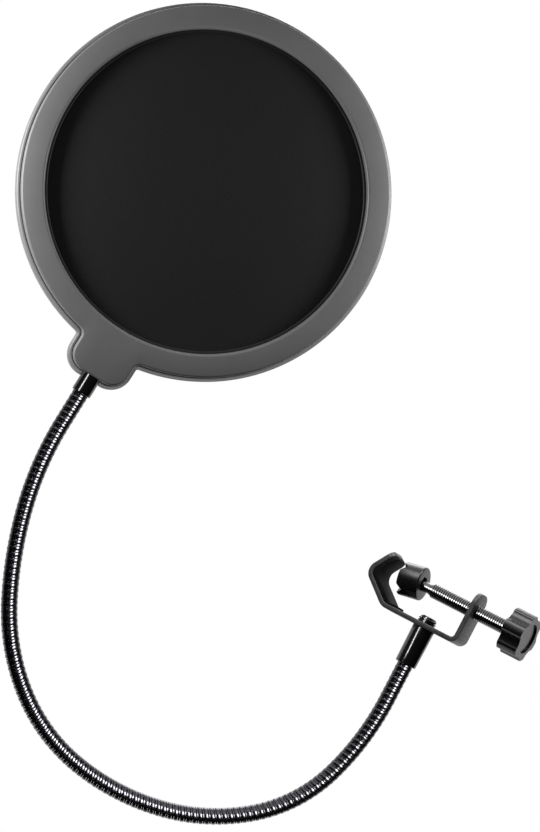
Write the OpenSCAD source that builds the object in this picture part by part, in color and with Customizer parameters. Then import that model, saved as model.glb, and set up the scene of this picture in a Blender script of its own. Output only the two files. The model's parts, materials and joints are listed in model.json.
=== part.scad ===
// Pop filter: a double mesh shield on a gooseneck, with a screw clamp for a stand tube or a table edge.
// Origin: the axis of the stand tube that the jaw grips. Z is up, the shield faces -Y.

/* [Shield frames] */
// Radius of the round opening in both frames
opening_r = 65; // [50:0.1:90]
// Width of the front frame's face ring
face_w = 9.4; // [8.5:0.1:14]
// Thickness of the two closed frames together
shield_t = 13; // [12:0.1:18]
// Wall thickness of both frames
frame_wall = 1.6; // [1.2:0.1:2.2]
// Gap between the front frame's skirt and the rear frame's wall
nest_gap = 0.2; // [0.1:0.05:0.4]
// Height of the rear frame's rim above the parting plane
rim_h = 0.4; // [0.2:0.1:1]
// Rounding of the frames' face edges
edge_round = 0.8; // [0.3:0.1:1.2]

/* [Mesh and hoops] */
// Thickness of one mesh layer
mesh_t = 0.3; // [0.2:0.05:0.5]
// Thickness of the spacer hoop between the two mesh layers
spacer_t = 3.4; // [2:0.1:5]
// Thickness of each clamping hoop
hoop_t = 1.5; // [1:0.1:2]
// How far the hoops show inside the opening
hoop_show = 1.2; // [0.5:0.1:2.5]
// How far the hoops reach behind the frames
hoop_hold = 4; // [2.5:0.1:5]

/* [Neck holder tab] */
// Width of the tab
tab_w = 28; // [25:0.5:40]
// How far the tab stands out past the rear frame's wall
tab_out = 12.6; // [10:0.1:20]
// Corner radius of the tab's end
tab_corner_r = 9; // [4:0.5:10]
// Distance of each tab screw from the tab's centre line
tab_screw_off = 8.3; // [8:0.1:11]
// Distance of the tab screws from the tab's end
tab_screw_back = 5.4; // [4.5:0.1:6]
// Shank radius of the tab screws
tab_screw_r = 1.1; // [0.8:0.05:1.4]
// Head radius of the tab screws
tab_screw_head_r = 2.2; // [1.8:0.1:2.6]
// Head height of the tab screws
tab_screw_head_h = 1.6; // [1:0.1:2]

/* [Gooseneck] */
// Outer diameter of the coiled neck
neck_d = 6.8; // [5.5:0.1:8]
// Length of each full stretch of neck between two bending points
stretch_l = 37.5; // [25:0.5:50]
// Length of the short stretch beside the lower ferrule
end_stretch_l = 15.5; // [10:0.5:25]
// Length of the short stretch beside the upper ferrule
top_stretch_l = 13.6; // [10:0.1:25]
// Gap at each bending point
bend_gap = 0.4; // [0.3:0.05:0.6]
// How much smaller each stretch's domed end is than the neck
dome_inset = 0.1; // [0.05:0.05:0.3]

/* [Ferrules] */
// Length of the lower ferrule
ferrule_l = 16.5; // [14:0.5:25]
// Diameter of the lower ferrule at the clamp
ferrule_top_d = 9.4; // [9.2:0.1:12]
// Diameter of the lower ferrule at the neck
ferrule_mouth_d = 9; // [8.8:0.1:11]
// Visible length of the upper ferrule
collar_l = 6.3; // [3:0.1:12]
// Diameter of the upper ferrule
collar_d = 8.2; // [8:0.1:9]
// Radius of the flange that holds the upper ferrule in the tab
flange_r = 5.4; // [4.8:0.1:5.6]
// Thickness of that flange
flange_t = 1.5; // [1:0.1:2]
// Depth to which the neck is seated in each ferrule
neck_seat = 11; // [8:0.5:11]
// Length of the upper ferrule inside the tab
collar_seat = 13; // [12:0.5:14]
// Distance of the flange's inner side from the tab's end
flange_back = 9.5; // [8.5:0.1:10.5]

/* [Clamp bracket] */
// Thickness of the bent strip
strip_t = 2; // [1.5:0.1:3]
// Width of the bent strip
strip_w = 12.5; // [11:0.5:20]
// Length of the base, from the ear's outer face to the jaw's bend
base_l = 36.2; // [28:0.1:50]
// Length of the jaw's lower leg
lower_leg_l = 17.6; // [15:0.1:30]
// Length of the jaw's upper leg
upper_leg_l = 14; // [11:0.1:25]
// Height of the ear
ear_h = 23.2; // [21:0.1:30]
// Turn of the strip from base to lower leg
lower_leg_turn = 37.8; // [30:0.1:45]
// Turn of the strip from lower leg to upper leg
upper_leg_turn = 85.4; // [75:0.1:95]
// Outer bend radii at the ear, at the base's end and at the jaw's apex
ear_bend_r = 3.5; // [3:0.1:5]
base_bend_r = 6; // [4:0.1:8]
apex_bend_r = 5; // [4.5:0.1:6]
// Corner radius of the ear's end
ear_corner_r = 5; // [2:0.1:5]
// Corner radius of the jaw's tip
jaw_corner_r = 3; // [2:0.1:5]
// Distance of the stud from the ear's outer face
stud_back = 17.3; // [10:0.1:20]
// Thickness of the rubber jaw liner
liner_t = 2; // [1:0.1:2.5]
// Radius of the liner's inner corner at the jaw's apex
liner_corner_r = 4.5; // [1:0.1:6]
// Thickness of the liner's toe on the base
toe_t = 1; // [0.5:0.1:1.5]
// How far the toe runs out along the base
toe_run = 1.2; // [0.5:0.1:2]
// Turn of the bracket about the stud, out of the neck's plane
bracket_turn = 34; // [-180:1:180]

/* [Clamp screw] */
// Thread diameter of the clamp screw
screw_d = 6; // [5:0.5:8]
// Thread pitch of the clamp screw
screw_pitch = 1; // [0.8:0.05:1.25]
// Height of the screw's axis above the base's underside
screw_h = 15.4; // [12:0.1:20]
// Length of thread inside the clamp, from the ear's outer face
thread_in = 22; // [12:0.1:30]
// Length of thread outside the clamp, from the ear's outer face to the knob
thread_out = 15.7; // [10:0.1:30]
// Diameter of the screw's plain end
shank_d = 4.2; // [3.6:0.1:4.6]
// Visible length of the plain end, from the thread to the pad
shank_show = 4.2; // [2:0.1:8]
// Running clearance between a bore and what turns in it
run_gap = 0.05; // [0.02:0.01:0.1]

/* [Pressure pad] */
// Diameter of the pad
pad_d = 14; // [12:0.1:20]
// Length of the pad
pad_l = 9.5; // [9:0.1:14]
// Distance from the pad's rear face to the retaining ring
ring_back = 3.4; // [3:0.1:4]
// Depth of the crossed vee grooves in the pad's face
groove_depth = 2.6; // [1:0.1:3]
// Turn of the crossed grooves about the pad's axis
groove_turn = 48; // [0:1:90]
// Droop of the pad on the screw's tip
pad_droop = 9.5; // [0:0.5:10]
// Thickness of the pad's rear wall
pad_wall = 1.8; // [1.2:0.1:2]
// Radius of the hole in the rear wall
pad_hole_r = 2.9; // [2.7:0.05:3]
// Radius of the retaining ring
ring_r = 3.3; // [3.2:0.05:3.6]
// Thickness of the retaining ring
ring_t = 0.8; // [0.5:0.1:1]

/* [Knob] */
// Diameter over the lobes
knob_d = 19.6; // [18:0.5:32]
// Length of the knob
knob_l = 9; // [8:0.1:16]
// Number of lobes
knob_lobes = 6; // [3:1:8]
// Turn of the knob on the screw
knob_turn = -7; // [-60:1:60]
// Depth of the flutes between the lobes
flute_depth = 1.6; // [0.5:0.1:2.5]
// Radius of the flutes
flute_r = 5; // [4:0.1:7]

/* [Stud] */
// Diameter of the stud that joins the neck to the clamp
stud_d = 8; // [6:0.5:8.4]
// How far the stud shows above the base
stud_show = 3; // [1:0.1:4]
// Depth of the stud in the lower ferrule
stud_seat = 5; // [3:0.1:5.2]

/* [Hidden] */
$fn = 72;
eps = 0.01;

// Directions in the neck's plane are degrees from +X towards +Z.
stud_dir = 62;                 // the stud's axis, pointing into the clamp
bends = [0, 19, 34.5, 26, 22, 29, 24.5, 13, 16, 0];   // how far each stretch of neck turns, from the clamp on
neck_r = neck_d / 2;
dome_r = neck_r - dome_inset;
cup_r = dome_r + bend_gap;

// The origin is the axis of this tube, seated against the jaw liner.
tube_r = 12.5;
jaw_half = (180 - upper_leg_turn) / 2;
apex = [-base_l - lower_leg_l * cos(lower_leg_turn), lower_leg_l * sin(lower_leg_turn)];
jaw_dir = 90 - lower_leg_turn - upper_leg_turn / 2;       // the bisector of the jaw, looking out of it
grip = apex + ((strip_t + liner_t + tube_r) / sin(jaw_half)) * [cos(jaw_dir), sin(jaw_dir)];

// Where the stud's axis crosses the base's underside, in the part's frame
tilt = 90 - stud_dir;
stud_out = -stud_back - grip[0];
neck_y = -stud_out * sin(bracket_turn);
stud_at = [
  stud_out * cos(bracket_turn) * cos(tilt) - grip[1] * sin(tilt),
  -stud_out * cos(bracket_turn) * sin(tilt) - grip[1] * cos(tilt)
];
ferrule_mouth_at = stud_at - ferrule_l * [cos(stud_dir), sin(stud_dir)];

// The centre line of the neck, as a chain of arcs
last = len(bends) - 1;
function turned(i) = i == 0 ? 0 : turned(i - 1) + bends[i - 1];
function heading(i) = stud_dir + 180 - turned(i);
function run(i) = i == 0 ? end_stretch_l : i == last ? top_stretch_l : stretch_l;
function arc_r(i) = run(i) / (bends[i] * PI / 180);
function chord(i) = bends[i] == 0 ? run(i) : 2 * arc_r(i) * sin(bends[i] / 2);
function pivot(i) = i == 0 ? ferrule_mouth_at
  : pivot(i - 1) + chord(i - 1) * [cos(heading(i) + bends[i - 1] / 2), sin(heading(i) + bends[i - 1] / 2)];

// The shield's own frame: its centre, the tab along +X, its face along +Z
rear_r = opening_r + face_w + nest_gap + frame_wall;
skirt_r = opening_r + face_w;
tab_reach = rear_r + tab_out;
collar_reach = tab_reach + collar_l;
shield_dir = heading(last + 1);
shield_at = pivot(last + 1) + collar_reach * [cos(shield_dir), sin(shield_dir)];
half_t = shield_t / 2;
lip_z = spacer_t / 2 + mesh_t + hoop_t;       // where the frames' lips hold the hoops
collar_in = collar_l + collar_seat;           // whole length of the upper ferrule
face_crown = 0.2;                             // how far the front face's edges lie below its middle

// The screw's own frame: its axis along +X away from the jaw, 0 at the ear's outer face
pad_rear = -thread_in - shank_show;
pad_pivot = pad_rear - ring_back;             // the retaining ring's middle
tip_over = 1;                                 // how far the screw's tip passes the ring's middle
tip_room = 0.8;                               // free space before the screw's tip inside the pad
knob_end_t = 2.8;                             // what is left of the knob past the screw's end
knob_hold = knob_l - knob_end_t;
knob_recess = 0.8;                            // depth of the recess in the knob's end
knob_rim = 1.8;                               // width of the rim round that recess
lead_in = screw_pitch / 2;                    // length of the chamfer where a thread starts

module in_neck_plane() translate([0, neck_y, 0]) rotate([90, 0, 0]) children();
module in_shield() in_neck_plane() translate(shield_at) rotate(shield_dir + 180) children();
module in_stretch(i) in_neck_plane() translate(pivot(i)) rotate(heading(i)) children();
module in_clamp() rotate([0, tilt, 0]) rotate([0, 0, -bracket_turn]) translate([-grip[0], 0, -grip[1]]) children();
module in_screw() in_clamp() translate([0, 0, screw_h]) children();
module in_pad() in_screw() translate([pad_pivot, 0, 0]) rotate([0, -pad_droop, 0]) children();
module along_x(l, r1, r2 = -1) rotate([0, 90, 0]) cylinder(h = l, r1 = r1, r2 = r2 < 0 ? r1 : r2);

// ---- Shield ----

// A tab's outline along +X, with two round end corners
module tab_outline(half_w, reach, corner) {
  start = opening_r;
  translate([start, -half_w]) square([reach - corner - start, 2 * half_w]);
  translate([start, corner - half_w]) square([reach - start, 2 * (half_w - corner)]);
  for (side = [-1, 1]) translate([reach - corner, side * (half_w - corner)]) circle(corner);
}

module tab_block(inset, low, high, inner_r) difference() {
  translate([0, 0, low]) linear_extrude(high - low)
    tab_outline(tab_w / 2 - inset, tab_reach - inset, tab_corner_r - inset);
  cylinder(h = 3 * shield_t, r = inner_r, center = true);
}

// The seat of the upper ferrule, shared by both halves of the tab
module ferrule_seat() {
  translate([collar_reach - collar_in - nest_gap, 0, 0]) along_x(collar_in + 1, collar_d / 2 + run_gap);
  translate([tab_reach - flange_back - run_gap, 0, 0]) along_x(flange_t + 2 * run_gap, flange_r + run_gap);
}

module at_tab_screws() for (side = [-1, 1])
  translate([tab_reach - tab_screw_back, side * tab_screw_off, 0]) children();

head_sunk = 0.6;                              // how far the screw heads lie below the rear face
screw_seat_z = -half_t + tab_screw_head_h + head_sunk;
front_skin = 2.4;                             // what is left of the front frame past the screws' tips
screw_tip_z = half_t - front_skin;

module front_frame() color("dimgray") in_shield() difference() {
  union() {
    rotate_extrude($fn = 180) polygon([
      [opening_r, lip_z], [opening_r, half_t - edge_round], [opening_r + edge_round, half_t - face_crown],
      [opening_r + face_w / 3, half_t], [skirt_r - face_w / 3, half_t],
      [skirt_r - edge_round, half_t - face_crown], [skirt_r, half_t - edge_round],
      [skirt_r, -half_t + frame_wall], [skirt_r - frame_wall, -half_t + frame_wall],
      [skirt_r - frame_wall, half_t - frame_wall], [opening_r + frame_wall, half_t - frame_wall],
      [opening_r + frame_wall, lip_z]
    ]);
    tab_block(frame_wall + nest_gap, 0, half_t - face_crown, skirt_r - frame_wall / 2);
  }
  ferrule_seat();
  at_tab_screws() cylinder(h = screw_tip_z + 0.4, r = tab_screw_r);
}

module rear_frame() color("dimgray") in_shield() difference() {
  union() {
    rotate_extrude($fn = 180) polygon([
      [opening_r, -lip_z], [opening_r + frame_wall, -lip_z], [opening_r + frame_wall, -half_t + frame_wall],
      [rear_r - frame_wall, -half_t + frame_wall], [rear_r - frame_wall, rim_h], [rear_r, rim_h],
      [rear_r, -half_t + edge_round], [rear_r - edge_round, -half_t],
      [opening_r + edge_round, -half_t], [opening_r, -half_t + edge_round]
    ]);
    tab_block(0, -half_t, rim_h, skirt_r + nest_gap);
  }
  tab_block(frame_wall, 0, 2 * rim_h, skirt_r + nest_gap - eps);
  ferrule_seat();
  at_tab_screws() {
    translate([0, 0, -half_t - eps]) cylinder(h = screw_seat_z + half_t + eps, r = tab_screw_head_r + nest_gap);
    translate([0, 0, -half_t]) cylinder(h = half_t + eps, r = tab_screw_r + nest_gap);
  }
}

module ring(low, high, inner_r, outer_r) rotate_extrude($fn = 180)
  translate([inner_r, low]) square([outer_r - inner_r, high - low]);

module hoop(low, high) ring(low, high, opening_r - hoop_show, opening_r + hoop_hold);
module front_hoop() color("black") in_shield() hoop(lip_z - hoop_t, lip_z);
module rear_hoop() color("black") in_shield() hoop(-lip_z, hoop_t - lip_z);
module spacer_hoop() color("black") in_shield() hoop(-spacer_t / 2, spacer_t / 2);

module mesh_disc(low) translate([0, 0, low]) cylinder(h = mesh_t, r = opening_r + hoop_hold - 0.4, $fn = 180);
module front_mesh() color([0.12, 0.12, 0.12]) in_shield() mesh_disc(spacer_t / 2);
module rear_mesh() color([0.12, 0.12, 0.12]) in_shield() mesh_disc(-spacer_t / 2 - mesh_t);

cross_w = 0.5;
cross_depth = 0.7;
module tab_screws() color("silver") in_shield() at_tab_screws() {
  translate([0, 0, screw_seat_z]) cylinder(h = screw_tip_z - screw_seat_z, r = tab_screw_r - eps);
  difference() {
    translate([0, 0, screw_seat_z - tab_screw_head_h]) cylinder(h = tab_screw_head_h, r = tab_screw_head_r);
    for (turn = [0, 90]) translate([0, 0, screw_seat_z - tab_screw_head_h]) rotate(turn)
      cube([cross_w, 1.3 * tab_screw_head_r, 2 * cross_depth], center = true);
  }
}

// ---- Neck ----

module upper_ferrule() color([0.08, 0.08, 0.08]) in_shield() difference() {
  union() {
    translate([collar_reach - collar_in, 0, 0]) along_x(collar_in, collar_d / 2);
    translate([tab_reach - flange_back, 0, 0]) along_x(flange_t, flange_r);
  }
  translate([collar_reach - neck_seat - 2 * run_gap, 0, 0]) along_x(neck_seat + 1, neck_r + run_gap);
}

// One stretch of neck from its bending point on, turning clockwise
module bent_tube(i) {
  seated = i == 0 ? neck_seat : 0;
  if (bends[i] == 0) translate([-seated, 0, 0]) along_x(run(i) + neck_seat, neck_r);
  else translate([0, -arc_r(i), 0]) rotate(90 - bends[i])
    rotate_extrude(angle = bends[i], $fn = 360) translate([arc_r(i), 0]) circle(neck_r, $fn = 48);
}

// The round end that the next stretch turns on, with a root inside its own stretch
module dome() rotate([0, 90, 0]) {
  rotate_extrude($fn = 48) intersection() {
    circle(dome_r, $fn = 48);
    square(dome_r);
  }
  translate([0, 0, -1]) cylinder(h = 1 + dome_r / 2, r = dome_r / 2);
}

module neck(i) color([0.25, 0.25, 0.27]) {
  if (i < last) in_stretch(i + 1) dome();
  difference() {
    in_stretch(i) bent_tube(i);
    if (i > 0) in_stretch(i) sphere(cup_r, $fn = 48);
  }
}
module neck_01() neck(0);
module neck_02() neck(1);
module neck_03() neck(2);
module neck_04() neck(3);
module neck_05() neck(4);
module neck_06() neck(5);
module neck_07() neck(6);
module neck_08() neck(7);
module neck_09() neck(8);
module neck_10() neck(9);

// The stud's axis, with Z into the clamp and 0 at the base's underside
module at_stud() in_clamp() translate([-stud_back, 0, 0]) children();

module lower_ferrule() color([0.08, 0.08, 0.08]) at_stud() difference() {
  translate([0, 0, -ferrule_l]) cylinder(h = ferrule_l, r1 = ferrule_mouth_d / 2, r2 = ferrule_top_d / 2);
  translate([0, 0, -ferrule_l - eps]) cylinder(h = neck_seat + 2 * run_gap + eps, r = neck_r + run_gap);
  translate([0, 0, -stud_seat]) cylinder(h = stud_seat + eps, r = stud_d / 2);
}

module stud() color("silver") at_stud() {
  top = strip_t + stud_show;
  translate([0, 0, -stud_seat]) cylinder(h = stud_seat + top - lead_in, r = stud_d / 2);
  translate([0, 0, top - lead_in]) cylinder(h = lead_in, r1 = stud_d / 2, r2 = stud_d / 2 - lead_in);
}

// ---- Clamp ----
// In the strip's plane +X runs along the base away from the jaw and +Y up. Headings are degrees from +X, the
// strip's outer side is its path from the ear's end to the jaw's tip, and its thickness lies right of that path.

arc_steps = 12;
base_heading = 180;
lower_heading = base_heading - lower_leg_turn;
upper_heading = lower_heading - upper_leg_turn;
jaw_tip = apex + upper_leg_l * ahead(upper_heading);
far = strip_t + liner_t;                      // from the strip's outer side to the liner's inner face
liner_corner = apex + far / sin(jaw_half) * [cos(jaw_dir), sin(jaw_dir)];
toe_x = -base_l - strip_t / tan(lower_leg_turn) + far / sin(lower_leg_turn);     // where its face meets the base

function ahead(h) = [cos(h), sin(h)];
function right(h) = [sin(h), -cos(h)];
function reversed(list) = [for (i = [len(list) - 1 : -1 : 0]) list[i]];

// The arc of a bend at a path's corner, at a depth from the path: the strip arrives at heading h and turns right.
function bend(corner, h, turn, r, depth) =
  let (centre = corner - r * tan(turn / 2) * ahead(h) + r * right(h))
  [for (k = [0 : arc_steps]) centre - (r - depth) * right(h - turn * k / arc_steps)];

function jaw_line(depth) = concat(
  bend([-base_l, 0], base_heading, lower_leg_turn, base_bend_r, depth),
  bend(apex, lower_heading, upper_leg_turn, apex_bend_r, depth),
  [jaw_tip + depth * right(upper_heading)]
);
function strip_line(depth) = concat(
  [[-depth, ear_h]], bend([0, 0], 270, 90, ear_bend_r, depth), jaw_line(depth)
);

module in_strip() in_clamp() rotate([90, 0, 0]) translate([0, 0, -strip_w / 2]) children();
module across_strip(outline) linear_extrude(strip_w) polygon(outline);

// What two round corners of radius r take off an end of the strip, which points along heading h
module end_corners(end, h, r) translate(end) rotate(h) for (side = [0, 1])
  translate([0, 0, side * strip_w]) mirror([0, 0, side]) rotate([-90, 0, 0])
    translate([0, 0, -2 * far]) linear_extrude(4 * far) polygon(concat(
      [[-r, 1], [1, 1], [1, -r]],
      [for (k = [0 : arc_steps]) [-r, -r] + r * ahead(90 * k / arc_steps)]
    ));

module bracket() color([0.3, 0.3, 0.31]) difference() {
  in_strip() difference() {
    across_strip(concat(strip_line(0), reversed(strip_line(strip_t))));
    end_corners([0, ear_h], 90, ear_corner_r);
    end_corners(jaw_tip, upper_heading, jaw_corner_r);
  }
  in_screw() translate([-2 * strip_t, 0, 0]) along_x(3 * strip_t, screw_d / 2 + run_gap);
  at_stud() translate([0, 0, -strip_t]) cylinder(h = 3 * strip_t, r = stud_d / 2 + run_gap);
}

// The liner backs onto both jaw legs, and ends in a thin toe on the base.
module jaw_liner() color([0.1, 0.1, 0.1]) in_strip() difference() {
  across_strip(concat(
    [[toe_x + toe_run, strip_t]], jaw_line(strip_t), [jaw_tip + far * right(upper_heading)],
    reversed(bend(liner_corner, lower_heading, upper_leg_turn, liner_corner_r, 0)),
    [[toe_x - toe_t / tan(lower_leg_turn), strip_t + toe_t], [toe_x + toe_run, strip_t + toe_t]]
  ));
  end_corners(jaw_tip, upper_heading, jaw_corner_r);
}

module clamp_screw() color("silver") in_screw() difference() {
  union() {
    translate([-thread_in, 0, 0]) along_x(thread_in + thread_out + knob_hold, screw_d / 2);
    translate([-thread_in - lead_in, 0, 0]) along_x(lead_in, screw_d / 2 - lead_in, screw_d / 2);
    translate([pad_pivot - tip_over, 0, 0]) along_x(tip_over - thread_in - pad_pivot, shank_d / 2);
  }
  translate([pad_pivot, 0, 0]) rotate([0, 90, 0]) difference() {
    cylinder(h = ring_t + 2 * run_gap, r = shank_d, center = true);
    cylinder(h = 2 * ring_t, r = shank_d / 2 - 0.5, center = true);
  }
}

module retaining_ring() color("silver") in_screw() translate([pad_pivot, 0, 0]) rotate([0, 90, 0]) difference() {
  cylinder(h = ring_t, r = ring_r, center = true);
  cylinder(h = 2 * ring_t, r = shank_d / 2 - 0.5 + run_gap, center = true);
}

module knob() color([0.13, 0.13, 0.13]) in_screw() translate([thread_out, 0, 0]) difference() {
  along_x(knob_l, knob_d / 2);
  for (i = [0 : knob_lobes - 1]) rotate([knob_turn + i * 360 / knob_lobes, 0, 0])
    translate([-1, 0, knob_d / 2 - flute_depth + flute_r]) along_x(knob_l + 2, flute_r);
  translate([-eps, 0, 0]) along_x(knob_hold + eps, screw_d / 2);
  translate([knob_l - knob_recess, 0, 0]) along_x(1, knob_d / 2 - flute_depth - knob_rim);
}

module pressure_pad() color([0.12, 0.12, 0.12]) in_pad() {
  rear = pad_rear - pad_pivot;
  front = rear - pad_l;
  ring_room = 0.7;
  difference() {
    translate([front, 0, 0]) along_x(pad_l, pad_d / 2);
    translate([rear - pad_wall, 0, 0]) along_x(pad_wall + 1, pad_hole_r);
    translate([-tip_over - tip_room, 0, 0]) along_x(rear - pad_wall + tip_over + tip_room, ring_r + ring_room);
    rotate([groove_turn, 0, 0]) translate([front, 0, 0]) for (turn = [0, 90]) rotate([turn, 0, 0])
      rotate([0, 45, 0]) cube([groove_depth * sqrt(2), 2 * pad_d, groove_depth * sqrt(2)], center = true);
  }
}

front_frame();
rear_frame();
front_hoop();
spacer_hoop();
rear_hoop();
front_mesh();
rear_mesh();
tab_screws();
upper_ferrule();
neck_10();
neck_09();
neck_08();
neck_07();
neck_06();
neck_05();
neck_04();
neck_03();
neck_02();
neck_01();
lower_ferrule();
stud();
bracket();
jaw_liner();
clamp_screw();
knob();
retaining_ring();
pressure_pad();
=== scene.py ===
"""A pop filter: a round double-mesh shield on a coiled gooseneck, with a screw clamp.

Each piece is drawn in its own axes in millimetres, and place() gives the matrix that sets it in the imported
model's frame, in metres.
"""

import json
import math

import bmesh
import bpy
from mathutils import Matrix, Vector

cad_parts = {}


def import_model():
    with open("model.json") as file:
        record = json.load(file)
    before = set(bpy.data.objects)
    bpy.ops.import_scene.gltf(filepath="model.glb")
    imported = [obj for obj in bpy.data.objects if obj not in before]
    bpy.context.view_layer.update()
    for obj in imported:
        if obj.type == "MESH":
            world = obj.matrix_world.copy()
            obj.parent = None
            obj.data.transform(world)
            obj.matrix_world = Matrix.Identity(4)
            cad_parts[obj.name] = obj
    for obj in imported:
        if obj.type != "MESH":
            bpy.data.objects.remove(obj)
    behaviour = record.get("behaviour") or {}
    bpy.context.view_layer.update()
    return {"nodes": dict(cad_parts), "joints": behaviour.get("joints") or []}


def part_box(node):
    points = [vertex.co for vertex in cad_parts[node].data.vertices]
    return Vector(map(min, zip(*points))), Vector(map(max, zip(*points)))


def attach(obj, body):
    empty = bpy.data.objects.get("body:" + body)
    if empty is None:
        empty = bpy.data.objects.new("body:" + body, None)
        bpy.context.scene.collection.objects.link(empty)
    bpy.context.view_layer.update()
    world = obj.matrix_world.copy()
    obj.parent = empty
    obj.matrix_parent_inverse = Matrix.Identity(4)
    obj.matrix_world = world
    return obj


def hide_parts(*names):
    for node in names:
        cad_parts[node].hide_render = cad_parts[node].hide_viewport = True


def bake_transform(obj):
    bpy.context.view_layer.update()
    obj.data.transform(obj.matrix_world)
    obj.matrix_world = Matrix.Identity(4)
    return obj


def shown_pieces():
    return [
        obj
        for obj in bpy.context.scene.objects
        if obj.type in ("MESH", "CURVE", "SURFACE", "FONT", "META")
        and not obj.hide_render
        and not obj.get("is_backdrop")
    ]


MM = 0.001
MERGE = 0.0005  # points nearer than this are one point, in millimetres

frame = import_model()
scene = bpy.context.scene

# ---- Sizes, in millimetres ----

OPENING_R = 65.0  # both frames' round opening
REAR_R = 76.2  # the rear frame's outer wall
STEP = 1.8  # how far the rear frame stands proud of the front one
HALF_T = 6.5  # half the thickness of the closed frames
FRAME_WALL = 1.6
RIM_H = 0.4  # the rear frame's rim above the parting plane
LIP_Z = 3.5  # where the frames' lips hold the hoops
OUTER_ROUND = 0.8
INNER_ROUND = 1.3
TAB_HALF_W = 14.0
TAB_REACH = 88.8  # from the shield's centre to the tab's end
TAB_CORNER_R = 9.0
SHOULDER_R = 1.3  # fillet between the tab and the ring
TAB_SCREW_OFF = 8.3
TAB_SCREW_BACK = 5.4
SCREW_HOLE_R = 2.4  # counterbores of the tab screws, in the rear frame

MESH_T = 0.3
MESH_R = 68.6
SPACER_T = 3.4
HOOP_T = 1.5
HOOP_IN_R = 63.8
HOOP_OUT_R = 69.0
THREAD_GAP = 0.55  # spacing of the mesh's yarns

NECK_R = 3.4
COIL_TURNS = 15  # turns of wire in one stretch of neck
COIL_STEPS = 36
STRETCH = 37.5  # the neck between two bending points
END_RUN = 15.5  # bare neck between the lower ferrule and the first bending point
TOP_RUN = 13.6  # and between the last one and the upper ferrule

FERRULE_L = 16.5
FERRULE_TOP_R = 4.7
FERRULE_MOUTH_R = 4.5
COLLAR_L = 6.3
COLLAR_R = 4.1
COLLAR_SEAT = 9.0  # how far the collar's modelled end lies inside the tab

MOUTH_ROUND = 0.35  # the rolled mouths of both ferrules
FERRULE_GAP = 0.05  # between a ferrule's bore and the neck

STRIP_T = 2.0
STRIP_W = 12.5
BASE_L = 36.2
LOWER_LEG_L = 17.6
UPPER_LEG_L = 14.0
EAR_H = 23.2
LOWER_LEG_TURN = 37.8
UPPER_LEG_TURN = 85.4
EAR_BEND_R = 3.5
BASE_BEND_R = 6.0
APEX_BEND_R = 5.0
EAR_CORNER_R = 5.0
JAW_CORNER_R = 3.0
STRIP_EASE = 0.28  # rounding of the strip's punched edges
STUD_BACK = 17.3
LINER_T = 2.0
LINER_CORNER_R = 4.5
LINER_EASE = 0.3
TOE_T = 1.0  # the liner's toe on the base
TOE_RUN = 1.2

SCREW_R = 3.0
THREAD_DEPTH = 0.55
PITCH = 1.0
FLANK = 0.46  # half a thread's width at its root, in pitches
CREST = 0.16  # and at its crest
THREAD_IN = 22.0
THREAD_OUT = 15.7
SHANK_R = 2.1
SHANK_SHOW = 4.2
STUD_R = 4.0
STUD_SHOW = 3.0

PAD_R = 7.0
PAD_L = 9.5
PAD_REAR = 3.4  # from the pad's pivot to its rear face
PAD_DROOP = 9.5
PAD_HOLE_R = 2.9
PAD_WALL = 1.8
PAD_ROUND = 0.6
CAVITY_R = 4.0  # the hollow in the pad that the screw's tip turns in
CAVITY_END = -1.8
GROOVE_DEPTH = 2.6
GROOVE_TURN = 48.0

KNOB_R = 9.8
KNOB_L = 9.0
KNOB_END_T = 2.8  # what is left of it past the screw's end
RECESS_R = 6.4
RECESS_DEPTH = 0.8
KNOB_LOBES = 6
KNOB_TURN = -7.0
LOBE_ROUND = 0.9  # rounding of the lobes' long edges
KNOB_ROUND = 0.55  # rounding of the knob's end edges
FLUTE_DEPTH = 1.6
FLUTE_R = 5.0

JOINTS = {joint["name"]: joint for joint in frame["joints"]}


def anchor(joint):
    return Vector(JOINTS[joint]["pos_m"]) / MM


def axis(joint):
    return Vector(JOINTS[joint]["axis"]).normalized()


def place(at, x_dir, z_dir):
    """The matrix from a piece's own axes, in millimetres, to the frame, in metres."""
    x, z = x_dir.normalized(), z_dir.normalized()
    turn = Matrix((x, z.cross(x), z)).transposed().to_4x4()
    return Matrix.Scale(MM, 4) @ Matrix.Translation(at) @ turn


# ---- Places, read from the frame ----

# The clamp's axes: X along the base away from the jaw, Z up the stud, and 0 at the ear's outer face and the
# base's underside
CLAMP_X, CLAMP_Z = axis("screw_turn"), axis("neck_swivel")
clamp_corner = anchor("neck_swivel") + STUD_BACK * CLAMP_X
screw_height = (anchor("screw_turn") - clamp_corner).dot(CLAMP_Z)
IN_CLAMP = place(clamp_corner, CLAMP_X, CLAMP_Z)
AT_STUD = IN_CLAMP @ Matrix.Translation((-STUD_BACK, 0, 0))
ON_SCREW = IN_CLAMP @ Matrix.Translation((0, 0, screw_height))
IN_PAD = place(anchor("pad_rock"), CLAMP_X, CLAMP_Z) @ Matrix.Rotation(math.radians(-PAD_DROOP), 4, "Y")


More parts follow.
